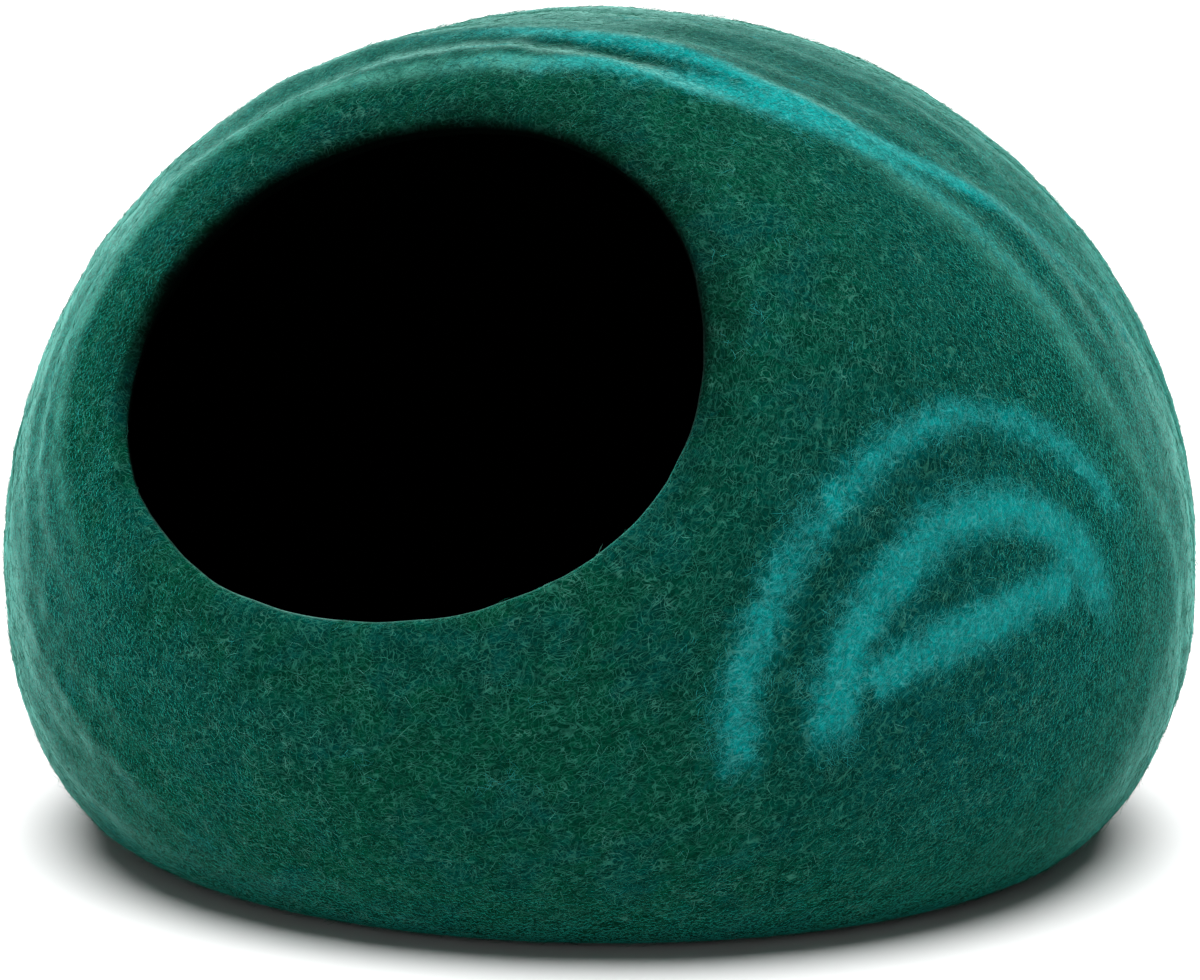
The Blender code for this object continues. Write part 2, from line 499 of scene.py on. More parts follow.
class Nodes:
    """Short ways to add and join the nodes of one material."""

    def __init__(self, name: str) -> None:
        """Start an empty node tree with one principled shader.

        Args:
            name: The material's name.
        """
        self.material = bpy.data.materials.new(name)
        self.material.use_nodes = True
        self.tree = self.material.node_tree
        self.tree.nodes.clear()
        self.shader = self.tree.nodes.new("ShaderNodeBsdfPrincipled")
        output = self.tree.nodes.new("ShaderNodeOutputMaterial")
        self.tree.links.new(self.shader.outputs["BSDF"], output.inputs["Surface"])
        self.place = self.tree.nodes.new("ShaderNodeTexCoord").outputs["Object"]

    def feed(self, socket: Any, value: Any) -> None:
        """Join an output to a socket, or set the socket's own value.

        Args:
            socket: The input.
            value: An output, a number, a vector or a colour.
        """
        if isinstance(value, bpy.types.NodeSocket):
            self.tree.links.new(value, socket)
        elif hasattr(value, "__len__") and socket.type == "RGBA" and len(value) == 3:
            socket.default_value = (*value, 1.0)
        else:
            socket.default_value = value

    def set(self, name: str, value: Any) -> None:
        """Set or join one input of the shader."""
        self.feed(self.shader.inputs[name], value)

    def mapped(self, vector: Any, scale: Sequence[float] = (1.0, 1.0, 1.0),
               turned: Sequence[float] = (0.0, 0.0, 0.0),
               moved: Sequence[float] = (0.0, 0.0, 0.0)) -> Any:
        """Coordinates turned, in degrees, and scaled.

        Args:
            vector: The coordinates to change.
            scale: Factors along the turned axes.
            turned: Degrees about each axis.
            moved: What is added at the end.

        Returns:
            The changed coordinates.
        """
        turning = self.tree.nodes.new("ShaderNodeMapping")
        turning.inputs["Rotation"].default_value = [math.radians(angle) for angle in turned]
        self.feed(turning.inputs["Vector"], vector)
        scaling = self.tree.nodes.new("ShaderNodeMapping")
        scaling.inputs["Scale"].default_value = scale
        scaling.inputs["Location"].default_value = moved
        self.feed(scaling.inputs["Vector"], turning.outputs["Vector"])
        return scaling.outputs["Vector"]

    def curled(self, size: float, reach: float, vector: Any = None,
               across: Sequence[float] = (1.0, 1.0, 1.0)) -> Any:
        """Coordinates bent to and fro, so that straight threads turn curly.

        Args:
            size: Length of a bend in metres.
            reach: How far it strays in metres.
            vector: The coordinates to bend, or None for the object's own.
            across: Units of the coordinates in a metre, along each axis.

        Returns:
            The bent coordinates.
        """
        stray = self.tree.nodes.new("ShaderNodeTexNoise")
        self.feed(stray.inputs["Vector"], self.place)
        stray.inputs["Scale"].default_value = 1.0 / size
        stray.inputs["Detail"].default_value = 1.0
        bend = self.tree.nodes.new("ShaderNodeVectorMath")
        bend.operation = "MULTIPLY_ADD"
        self.feed(bend.inputs[0], stray.outputs["Color"])
        bend.inputs[1].default_value = [reach * units for units in across]
        self.feed(bend.inputs[2], self.place if vector is None else vector)
        return bend.outputs["Vector"]

    def noise(self, vector: Any, scale: float, detail: float = 2.0, rough: float = 0.5,
              warp: float = 0.0) -> Any:
        """Noise from 0 to 1.

        Args:
            vector: Coordinates in metres.
            scale: Lumps for each metre.
            detail: Finer layers.
            rough: Strength of the finer layers.
            warp: Distortion.

        Returns:
            The noise's value output.
        """
        node = self.tree.nodes.new("ShaderNodeTexNoise")
        self.feed(node.inputs["Vector"], vector)
        node.inputs["Scale"].default_value = scale
        node.inputs["Detail"].default_value = detail
        node.inputs["Roughness"].default_value = rough
        node.inputs["Distortion"].default_value = warp
        return node.outputs["Fac"]

    def math(self, operation: str, first: Any, second: Any = 0.0, third: Any = 0.0) -> Any:
        """Result of a Math node.

        Args:
            operation: The node's operation.
            first: An output or a number.
            second: The same, where the operation takes two.
            third: The same, where it takes three.

        Returns:
            The node's output.
        """
        node = self.tree.nodes.new("ShaderNodeMath")
        node.operation = operation
        for socket, value in zip(node.inputs, (first, second, third)):
            self.feed(socket, value)
        return node.outputs["Value"]

    def span(self, value: Any, low: float, high: float, start: float = 0.0,
             end: float = 1.0) -> Any:
        """Ease a value from start at low to end at high.

        Args:
            value: The output to ease.
            low: Where the result is start.
            high: Where the result is end; it may be the lower.
            start: The first result.
            end: The last result.

        Returns:
            The eased value.
        """
        node = self.tree.nodes.new("ShaderNodeMapRange")
        node.interpolation_type = "SMOOTHSTEP"
        for name, number in (("Value", value), ("From Min", low), ("From Max", high),
                             ("To Min", start), ("To Max", end)):
            self.feed(node.inputs[name], number)
        return node.outputs["Result"]

    def mix(self, share: Any, first: Any, second: Any, kind: str = "MIX") -> Any:
        """Mix of two colours.

        Args:
            share: Share of the second, from 0 to 1.
            first: An output or a colour.
            second: An output or a colour.
            kind: The node's way of mixing.

        Returns:
            The mixed colour.
        """
        node = self.tree.nodes.new("ShaderNodeMix")
        node.data_type = "RGBA"
        node.blend_type = kind
        # The sockets for colours come after those for numbers and vectors.
        for index, value in ((0, share), (6, first), (7, second)):
            self.feed(node.inputs[index], value)
        return node.outputs[2]

    def attribute(self, name: str, kind: str = "Fac") -> Any:
        """One of the mesh's own attributes.

        Args:
            name: The attribute's name.
            kind: Fac for its value, Vector for a vector.

        Returns:
            The output.
        """
        node = self.tree.nodes.new("ShaderNodeAttribute")
        node.attribute_name = name
        return node.outputs[kind]

    def threads(self, vector: Any, scale: Sequence[float], rows: float, fine: float,
                seed: float = 0.0) -> Any:
        """Long thin curly lines, like single hairs: the level lines of a noise.

        Args:
            vector: Coordinates, bent or not.
            scale: Lumps of the noise for each unit along the axes.
            rows: Level lines from the lowest to the highest noise.
            fine: Half width of a line, as a share of the gap between two.
            seed: Moves the pattern.

        Returns:
            The lines, from 0 to 1.
        """
        lumps = self.noise(self.mapped(vector, scale, moved=(seed, seed, seed)), 1.0, detail=0.0)
        row = self.math("FRACT", self.math("MULTIPLY", lumps, rows))
        return self.span(self.math("ABSOLUTE", self.math("SUBTRACT", row, 0.5)), fine, 0.0)

    def most(self, *values: Any) -> Any:
        """The largest of several values.

        Args:
            *values: Outputs.

        Returns:
            The output of the last comparison.
        """
        found = values[0]
        for value in values[1:]:
            found = self.math("MAXIMUM", found, value)
        return found

    def facing(self) -> Any:
        """How far the surface turns away from the view, from 0 to 1, for the painted sheen."""
        return self.tree.nodes.new("ShaderNodeLayerWeight").outputs["Facing"]

    def bump(self, height: Any, strength: float, distance: float) -> Any:
        """Bumped normal of a height.

        Args:
            height: The height's output.
            strength: Share of the bump, from 0 to 1.
            distance: Metres for a height of 1.

        Returns:
            The normal.
        """
        node = self.tree.nodes.new("ShaderNodeBump")
        node.inputs["Strength"].default_value = strength
        node.inputs["Distance"].default_value = distance
        self.feed(node.inputs["Height"], height)
        return node.outputs["Normal"]


@dataclass(frozen=True)
class FeltFinish:
    """Matted green wool with lighter hairs and teal wool worked in; painted shade in the pits, at the
    rim and in the groove, painted light on the brow's band, a painted sheen where the skin turns away,
    and an inside painted almost black as painted shade.
    """

    leaf: Triple = from_screen(0, 56, 38)
    sea: Triple = from_screen(0, 58, 56)
    deep: Triple = from_screen(0, 35, 26)
    hair_green: Triple = from_screen(48, 116, 98)
    hair_pale: Triple = from_screen(70, 138, 120)
    hair_teal: Triple = from_screen(76, 156, 153)
    teal_low: Triple = from_screen(1, 100, 97)
    teal_high: Triple = from_screen(6, 130, 128)
    # Painted shade in the pits between fibres, which the bump also sinks.
    painted_pit_shade: Triple = from_screen(1, 18, 13)
    # Painted shade: the inside is painted almost black.
    painted_inside_shade: Triple = from_screen(0, 2, 1)
    laid: Triple = from_screen(66, 130, 116)
    # Painted sheen: the pale colour laid on where the skin turns away.
    painted_sheen_colour: Triple = from_screen(114, 168, 157)
    sheen_tint: Triple = (0.03, 0.60, 0.49)
    sea_share: float = 0.70
    teal_share: float = 0.94
    hair_share: float = 0.52
    pit_share: float = 0.24
    pit_share_teal: float = -0.08
    most_painted_sheen: float = 0.95

    def ground(self, nodes: Nodes) -> Any:
        """Colour of the green wool alone, in soft patches.

        Args:
            nodes: The material's nodes.

        Returns:
            The colour.
        """
        drift = nodes.mapped(nodes.place, scale=(1.0, 1.0, 1.5), turned=(0.0, 20.0, 0.0),
                             moved=(3.0, 1.0, 7.0))
        patch = nodes.span(nodes.noise(drift, 34.0, detail=4.0, rough=0.60, warp=0.7), 0.44, 0.66)
        tint = nodes.most(nodes.math("MULTIPLY", patch, self.sea_share), nodes.attribute("haze"))
        specks = nodes.noise(drift, 150.0, detail=3.0, rough=0.62, warp=0.9)
        dark = nodes.span(specks, 0.38, 0.60, start=0.60, end=0.0)
        return nodes.mix(dark, nodes.mix(tint, self.leaf, self.sea), self.deep)

    def worked_in(self, nodes: Nodes) -> Any:
        """Strength of the teal wool, with feathered and broken edges.

        Args:
            nodes: The material's nodes.

        Returns:
            The strength, below 0 far from the teal wool.
        """
        feather = nodes.noise(nodes.curled(0.006, 0.006), 190.0, detail=3.0, rough=0.72, warp=0.6)
        lumps = nodes.noise(nodes.mapped(nodes.place, moved=(9.0, 4.0, 2.0)), 48.0, warp=0.4)
        broken = nodes.math("MULTIPLY_ADD", lumps, 0.5, -0.8)
        wavering = nodes.math("MULTIPLY_ADD", feather, 1.1, broken)
        return nodes.math("ADD", nodes.attribute("teal"), wavering)

    def hairs(self, nodes: Nodes) -> Any:
        """Single light hairs, some that run with the wool and some that cross it.

        Args:
            nodes: The material's nodes.

        Returns:
            The hairs, from 0 to 1.
        """
        flow = nodes.attribute("flow", "Vector")
        across = (5.3, 5.3, 1.0)
        waved = nodes.curled(0.0075, 0.0060, flow, across)
        crimped = nodes.curled(0.0045, 0.0040, flow, across)
        curly = nodes.curled(0.0050, 0.0040)
        found = nodes.most(
            nodes.threads(waved, (12.0, 12.0, 430.0), rows=5.0, fine=0.095),
            nodes.threads(crimped, (15.0, 15.0, 380.0), rows=5.0, fine=0.095, seed=5.0),
            nodes.threads(curly, (230.0, 210.0, 330.0), rows=4.0, fine=0.085, seed=9.0),
            nodes.threads(nodes.place, (280.0, 360.0, 250.0), rows=4.0, fine=0.080, seed=13.0),
        )
        tufts = nodes.noise(nodes.place, 300.0, rough=0.6)
        return nodes.math("MULTIPLY", found, nodes.span(tufts, 0.36, 0.64, start=0.42, end=1.0))

    def wool(self, nodes: Nodes, hairs: Any, pits: Any) -> Any:
        """Colour of the matted wool: green, teal, painted shade in the pits between fibres, and the
        hairs.

        Args:
            nodes: The material's nodes.
            hairs: Where the light hairs are.
            pits: Where the pits are.

        Returns:
            The colour.
        """
        reach = self.worked_in(nodes)
        banded = nodes.span(reach, 0.12, 1.00)
        teal = nodes.mix(nodes.span(reach, 0.45, 1.10), self.teal_low, self.teal_high)
        covered = nodes.math("MULTIPLY", banded, self.teal_share)
        colour = nodes.mix(covered, self.ground(nodes), teal)
        tufts = nodes.span(nodes.noise(nodes.place, 90.0, detail=1.0), 0.62, 0.70)
        light = nodes.mix(tufts, self.hair_green, self.hair_pale)
        light = nodes.mix(banded, light, self.hair_teal)
        depth = nodes.math("MULTIPLY_ADD", banded, self.pit_share_teal, self.pit_share)
        # Painted shade: the pits between fibres go darker.
        colour = nodes.mix(nodes.math("MULTIPLY", pits, depth), colour, self.painted_pit_shade)
        return nodes.mix(nodes.math("MULTIPLY", hairs, self.hair_share), colour, light)

    def dressed(self, nodes: Nodes, wool: Any, hairs: Any) -> Any:
        """Colour with the painted shade of rim and groove, the painted light on the brow's band, the
        pale bloom and the painted sheen.

        Args:
            nodes: The material's nodes.
            wool: Colour of the matted wool.
            hairs: Where the light hairs are.

        Returns:
            The colour.
        """
        # Painted shade at the rim and in the groove, painted light on the brow's band.
        colour = nodes.mix(1.0, wool, nodes.attribute("shade"), "MULTIPLY")
        wisps = nodes.noise(nodes.curled(0.006, 0.006), 130.0, detail=3.0, rough=0.7)
        wisps = nodes.span(wisps, 0.30, 0.66, start=0.35, end=1.0)
        laid = nodes.math("MULTIPLY", nodes.attribute("bloom"), wisps)
        colour = nodes.mix(laid, colour, self.laid)
        # Painted sheen: pale colour where the skin turns away.
        return nodes.mix(self.painted_sheen_share(nodes, hairs), colour, self.painted_sheen_colour)

    def painted_sheen_share(self, nodes: Nodes, hairs: Any) -> Any:
        """Share of the painted sheen: pale colour painted where the skin turns away from the view.

        Args:
            nodes: The material's nodes.
            hairs: Where the light hairs are.

        Returns:
            The share, from 0 to 1.
        """
        turned = nodes.math("DIVIDE", nodes.math("SUBTRACT", nodes.facing(), 0.44), 0.50)
        turned = nodes.math("POWER", nodes.math("MAXIMUM", turned, 0.0), 2.0)
        ruffled = nodes.math("MULTIPLY_ADD", hairs, 0.45, 0.75)
        share = nodes.math("MULTIPLY", nodes.math("MULTIPLY", turned, ruffled),
                           nodes.attribute("frost"))
        return nodes.math("MINIMUM", share, self.most_painted_sheen)

    def make(self) -> bpy.types.Material:
        """Make the material from its parts.

        Returns:
            The finished material.
        """
        nodes = Nodes("matted_green_wool")
        hairs = self.hairs(nodes)
        pits = nodes.span(nodes.noise(nodes.place, 850.0, rough=0.65, warp=0.5), 0.54, 0.36)
        pebbles = nodes.noise(nodes.mapped(nodes.place, scale=(1.3, 1.0, 1.2)), 150.0,
                              detail=3.0, rough=0.55, warp=0.5)
        colour = self.dressed(nodes, self.wool(nodes, hairs, pits), hairs)
        inner = nodes.attribute("inner")
        # Painted shade: the inside and the turned-in rim go almost black.
        nodes.set("Base Color", nodes.mix(inner, colour, self.painted_inside_shade))
        height = nodes.math("MULTIPLY_ADD", pebbles, 1.6, nodes.math("MULTIPLY", pits, -0.8))
        nodes.set("Normal", nodes.bump(height, strength=0.65, distance=0.0007))
        nodes.set("Roughness", nodes.span(pebbles, 0.3, 0.7, start=0.90, end=1.0))
        nodes.set("Specular IOR Level", 0.01)
        nodes.set("Sheen Weight", nodes.span(inner, 0.0, 0.6, start=0.9, end=0.0))
        nodes.set("Sheen Roughness", 0.15)
        nodes.set("Sheen Tint", self.sheen_tint)
        return nodes.material


class WoolTone(Enum):
    """Tones of the loose wool, as screen colours."""

    LEAF = (3, 68, 50)
    EMERALD = (13, 88, 70)
    SAGE = (44, 112, 95)
    FROST = (86, 152, 138)
    TEAL = (44, 140, 136)


@dataclass(frozen=True)
class FibreFinish:
    """One tone of loose wool, in a darker, a plain and a lighter shade."""

    tone: WoolTone
    spread: float = 0.14
    brightest: float = 0.9

    def shares(self) -> Triple:
        """Brightness of each shade."""
        return 1.0 - self.spread, 1.0, 1.0 + self.spread

    def make(self) -> list[bpy.types.Material]:
        """Make the tone's materials.

        Returns:
            One for each shade, from dark to light.
        """
        made = []
        tone = from_screen(*self.tone.value)
        for index, share in enumerate(self.shares()):
            nodes = Nodes(f"wool_{self.tone.name.lower()}_{index + 1}")
            scales = nodes.noise(nodes.place, 2600.0, rough=0.6)
            nodes.set("Base Color", tuple(min(value * share, self.brightest) for value in tone))
            nodes.set("Normal", nodes.bump(scales, strength=0.4, distance=0.0001))
            nodes.set("Roughness", nodes.span(scales, 0.3, 0.7, start=0.70, end=0.95))
            nodes.set("Specular IOR Level", 0.01)
            made.append(nodes.material)
        return made


@dataclass
class FeltShell:
    """The seamless shell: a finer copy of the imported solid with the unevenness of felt.

    The relief is the size of its lumps and their height. A span of outwardness says how far the
    skin has to look outwards or inwards.
    """

    layout: Layout
    teal: TealWool
    pale: PaleWool
    outer_cuts: int = 2
    guide_levels: int = 3
    merge_distance: float = 1e-6
    quad_angles: Span = (60.0, 80.0)
    outer_outwardness: float = 0.15
    outer_height: float = 0.0015
    relief: tuple[Span, ...] = ((0.030, 0.00050), (0.015, 0.00050), (0.008, 0.00034))
    relief_heights: Span = (0.0004, 0.012)
    band_rise: float = 0.0005
    band_outwardness: Span = (0.3, 0.8)
    fold_rise: float = 0.0006
    fold_past: Span = (-2.0, 6.0)
    # Where the inside's painted shade lies: the inner skin and the turned-in rim over the mouth.
    inner_outwardness: Span = (0.10, -0.45)
    rim_outwardness: Span = (0.62, 0.05)
    rim_past: Span = (1.1, -0.4)
    # Painted shade at the rim and in the groove, and painted light on the brow's band.
    rim_shade: float = 0.50
    rim_shade_past: Span = (5.5, 0.8)
    groove_below: float = 2.2
    groove_half_width: float = 1.2
    groove_shade: Reach = Reach((-20.0, 0.0), (30.0, 56.0), 0.18)
    brow_light: Ease = Ease(0.20, 62.0, 40.0)
    piece: bpy.types.Object = field(init=False)

    def copy_solid(self, name: str) -> bpy.types.Object:
        """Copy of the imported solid, with its loose triangles joined into quads.

        Args:
            name: The copy's name.

        Returns:
            The copy.
        """
        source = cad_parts[NODE]
        made = bpy.data.objects.new(name, source.data.copy())
        bpy.context.scene.collection.objects.link(made)
        made.data.materials.clear()
        pick(made)
        face_angle, shape_angle = (math.radians(angle) for angle in self.quad_angles)
        bpy.ops.object.mode_set(mode="EDIT")
        bpy.ops.mesh.select_all(action="SELECT")
        bpy.ops.mesh.remove_doubles(threshold=self.merge_distance)
        bpy.ops.mesh.tris_convert_to_quads(face_threshold=face_angle, shape_threshold=shape_angle)
        bpy.ops.object.mode_set(mode="OBJECT")
        return made

    def subdivide(self, made: bpy.types.Object, levels: int) -> None:
        """Round a piece with an applied subdivision surface.

        Args:
            made: The piece.
            levels: How many times each face is divided.
        """
        rounded = made.modifiers.new("rounded", "SUBSURF")
        rounded.levels = rounded.render_levels = levels
        pick(made)
        bpy.ops.object.modifier_apply(modifier=rounded.name)

    def outer_faces(self, mesh: bpy.types.Mesh) -> np.ndarray:
        """Which faces belong to the outer skin above the floor.

        Args:
            mesh: The shell's mesh.

        Returns:
            True or false for each face.
        """
        middles, normals = face_places(mesh)
        outward = self.layout.outwardness(middles, normals)
        return (outward > self.outer_outwardness) & (middles[:, 2] > self.outer_height)

    def build(self) -> None:
        """Model the shell."""
        guide = self.copy_solid("guide")
        self.subdivide(guide, self.guide_levels)
        self.piece = self.copy_solid("felt_shell")
        self.subdivide(self.piece, 1)
        mesh = self.piece.data
        chosen = self.outer_faces(mesh)
        clear_choice(mesh)
        mesh.polygons.foreach_set("select", chosen)
        pick(self.piece)
        bpy.ops.object.mode_set(mode="EDIT")
        bpy.ops.mesh.select_mode(type="FACE")
        bpy.ops.mesh.subdivide(number_cuts=self.outer_cuts)
        bpy.ops.object.mode_set(mode="OBJECT")
        fitted = self.piece.modifiers.new("fitted", "SHRINKWRAP")
        fitted.target = guide
        fitted.wrap_method = "NEAREST_SURFACEPOINT"
        bpy.ops.object.modifier_apply(modifier=fitted.name)
        bpy.data.objects.remove(guide)
        self.press_relief()

    def press_relief(self) -> None:
        """Move the skin by the lumps, bands and folds of hand-felted wool."""
        mesh = self.piece.data
        places, normals = vertex_places(mesh)
        lumps = np.zeros(len(places))
        for size, height in self.relief:
            lumps += height * np.array([noise.noise(Vector(p) / size) for p in places])
        outer = smooth(self.layout.outwardness(places, normals), *self.band_outwardness)
        lumps += self.band_rise * np.clip(self.teal.strength(places), 0.0, 1.0) * outer
        turn, past = self.layout.from_mouth(places)
        behind = smooth(past - self.layout.crest_line(turn), *self.fold_past)
        lumps += self.fold_rise * behind * self.pale.streaks(places)
        lumps *= smooth(places[:, 2], *self.relief_heights)
        places += normals * lumps[:, None]
        mesh.vertices.foreach_set("co", places.ravel())
        mesh.update()

    def painted_inside_shade(self, places: np.ndarray, normals: np.ndarray) -> np.ndarray:
        """How far places take the inside's painted shade, which paints the inside and the turned-in
        rim almost black.

        Args:
            places: Points, a row each.
            normals: The skin's normals there.

        Returns:
            Shares from 0, on the outer skin, to 1.
        """
        outward = self.layout.outwardness(places, normals)
        turn, past = self.layout.from_mouth(places)
        rim = np.maximum(smooth(outward, *self.rim_outwardness), smooth(past, *self.rim_past))
        inner = self.layout.overhead(turn) * rim
        return np.maximum(inner, smooth(outward, *self.inner_outwardness))

    def shade(self, places: np.ndarray) -> np.ndarray:
        """Factor on the colour: painted shade at the rim and in the groove, painted light on the
        brow's band.

        Args:
            places: Points, a row each.

        Returns:
            Factors round 1.
        """
        turn, past = self.layout.from_mouth(places)
        rim = smooth(past, *self.rim_shade_past)
        shade = 1.0 - self.rim_shade * self.layout.overhead(turn) * rim
        above = past - self.layout.upper_line(turn)
        groove = np.exp(-(((above + self.groove_below) / self.groove_half_width) ** 2))
        shade *= 1.0 - self.groove_shade.at(turn) * groove
        return shade + self.brow_light.at(turn) * self.teal.on_brow(turn, past)

    def dress(self) -> None:
        """Give the shell its finish and attach it to the body."""
        mesh = self.piece.data
        places, normals = vertex_places(mesh)
        # Painted shade: how far the inside and the turned-in rim are painted almost black.
        inner = self.painted_inside_shade(places, normals)
        write_values(mesh, "teal", self.teal.strength(places) * (1.0 - inner))
        write_values(mesh, "haze", self.teal.haze(places))
        # Where the painted sheen goes.
        write_values(mesh, "frost", self.pale.frost(places))
        write_values(mesh, "bloom", self.pale.bloom(places))
        # Painted shade at rim and groove and painted light on the brow's band.
        write_values(mesh, "shade", self.shade(places))
        write_values(mesh, "inner", inner)
        flow = mesh.attributes.new("flow", "FLOAT_VECTOR", "POINT")
        flow.data.foreach_set("vector", self.layout.flow(places).astype(np.float32).ravel())
        mesh.materials.append(FeltFinish().make())
        pick(self.piece)
        bpy.ops.object.shade_smooth()
        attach(self.piece, BODY)
        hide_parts(NODE)


@dataclass(frozen=True)
class Lot:
    """A lot of loose fibres of one tone, with sizes in metres and the scatter in degrees."""

    tone: WoolTone
    count: int
    seed: int
    points: int = 4
    length: Span = (0.0028, 0.0070)
    thickness: float = 0.00011
    curl: float = 0.22
    scatter: float = 36.0
    lift: Span = (0.00008, 0.00030)
    loose_share: float = 0.20
    loose_lift: float = 0.0008


@dataclass
class FibreCoat:
    """Short curly fibres of one tone, which lie matted on the outer skin.

    A loss is the share that is left out, of the light tones and the dark ones where teal wool lies,
    and of all near the rim. Taper powers shape a strand's ends and its middle.
    """

    shell: FeltShell
    lot: Lot
    patch_scale: float = 60.0
    patch_shift: Triple = (4.0, 1.0, 2.0)
    patch_layers: tuple[float, float, int] = (0.6, 2.0, 4)
    teal_ragged: float = 0.55
    teal_edge: Span = (0.25, 0.75)
    rim_past: Span = (0.5, 5.0)
    rim_bare_past: Span = (2.2, 0.9)
    rim_loss: Span = (0.4, 0.6)
    frost_past: Span = (-4.0, 6.0)
    frost_behind: Span = (0.18, 0.82)
    sage_patches: Span = (-0.1, 0.35)
    sage_patchy: Span = (0.35, 0.65)
    light_loss: float = 0.6
    dark_loss: float = 0.97
    dark_off_rim: Span = (0.2, 0.8)
    outer_outwardness: Span = (-0.05, 0.25)
    outer_height: float = 0.0012
    bow: Span = (4.0, 0.3)
    waves: float = 1.15
    arch_power: float = 0.7
    sunk: float = 0.00012
    loose_rise: Span = (0.3, 1.0)
    loose_power: float = 1.5
    floor_height: float = 0.0004
    thickness_spread: Span = (0.7, 1.2)
    taper_powers: Span = (0.8, 0.5)
    piece: bpy.types.Object = field(init=False)
    skin: BVHTree = field(init=False)

    def wanted(self, places: np.ndarray) -> np.ndarray:
        """How welcome this tone is at places.

        Args:
            places: Points, a row each.

        Returns:
            Shares from 0 to 1.
        """
        layout = self.shell.layout
        turn, past = layout.from_mouth(places)
        shift = Vector(self.patch_shift)
        patches = np.array([noise.fractal(Vector(p) * self.patch_scale + shift,
                                          *self.patch_layers) for p in places])
        teal = smooth(self.shell.teal.strength(places) + self.teal_ragged * patches,
                      *self.teal_edge)
        near_rim = 1.0 - smooth(past, *self.rim_past)
        off_rim = 1.0 - near_rim * plus_share(self.rim_loss, layout.overhead(turn))
        if self.lot.tone is WoolTone.TEAL:
            return teal
        if self.lot.tone is WoolTone.FROST:
            behind = smooth(past - layout.crest_line(turn), *self.frost_past)
            laid = plus_share(self.frost_behind, behind) * off_rim
            return laid * (1.0 - self.light_loss * teal)
        if self.lot.tone is WoolTone.SAGE:
            patchy = plus_share(self.sage_patchy, smooth(patches, *self.sage_patches))
            return patchy * (1.0 - self.light_loss * teal) * off_rim
        return (1.0 - self.dark_loss * teal) * plus_share(self.dark_off_rim, off_rim)

    def roots(self, luck: np.random.Generator) -> tuple[np.ndarray, np.ndarray]:
        """Random places on the outer skin.

        Args:
            luck: The random numbers.

        Returns:
            The places and the skin's normals there.
        """
        mesh = self.shell.piece.data
        mesh.calc_loop_triangles()
        corners = np.empty(len(mesh.loop_triangles) * 3, np.int64)
        mesh.loop_triangles.foreach_get("vertices", corners)
        corners = corners.reshape(-1, 3)
        places, _ = vertex_places(mesh)
        first, second, third = (places[corners[:, k]] for k in range(3))
        crossed = np.cross(second - first, third - first)
        area = np.linalg.norm(crossed, axis=1)
        normals = unit(crossed)
        middles = (first + second + third) / 3.0
        layout = self.shell.layout
        outer = smooth(layout.outwardness(middles, normals), *self.outer_outwardness)
        weight = area * outer * (middles[:, 2] > self.outer_height)
        weight *= self.wanted(middles)
        turn, past = layout.from_mouth(middles)
        weight *= 1.0 - layout.overhead(turn) * smooth(past, *self.rim_bare_past)
        chosen = luck.choice(len(area), self.lot.count, p=weight / weight.sum())
        one, two = luck.random((2, self.lot.count))
        turned = one + two > 1.0
        one, two = np.where(turned, 1.0 - one, one), np.where(turned, 1.0 - two, two)
        spots = first[chosen] + (second - first)[chosen] * one[:, None]
        spots += (third - first)[chosen] * two[:, None]
        return spots, normals[chosen]

    def lay_direction(self, spots: np.ndarray, normals: np.ndarray,
                      luck: np.random.Generator) -> np.ndarray:
        """Direction in which each fibre lies: round the mouth or round the swirl, scattered.

        Args:
            spots: Where the fibres are, a row each.
            normals: The skin's normals there.
            luck: The random numbers.

        Returns:
            The directions, a row each.
        """
        layout = self.shell.layout
        around = unit(np.cross(normals, layout.mouth_axis()))
        aside, upward = layout.from_swirl(spots)
        reach = np.hypot(aside / layout.swirl_stretch, upward)
        azimuth = math.radians(layout.swirl_azimuth)
        back = np.array((math.cos(azimuth), math.sin(azimuth), 0.0))
        outwards = unit(aside[:, None] * back + upward[:, None] * np.array((0.0, 0.0, 1.0)))
        circling = unit(np.cross(normals, outwards))
        on_right = spots[:, 0] > 0.0
        pull = (np.exp(-((reach / layout.swirl_reach) ** 4)) * on_right)[:, None]
        flow = unit(around * (1.0 - pull) + circling * pull)
        angle = np.radians(luck.normal(0.0, self.lot.scatter, len(spots)))[:, None]
        sideways = np.cross(normals, flow)
        return unit(flow * np.cos(angle) + sideways * np.sin(angle))

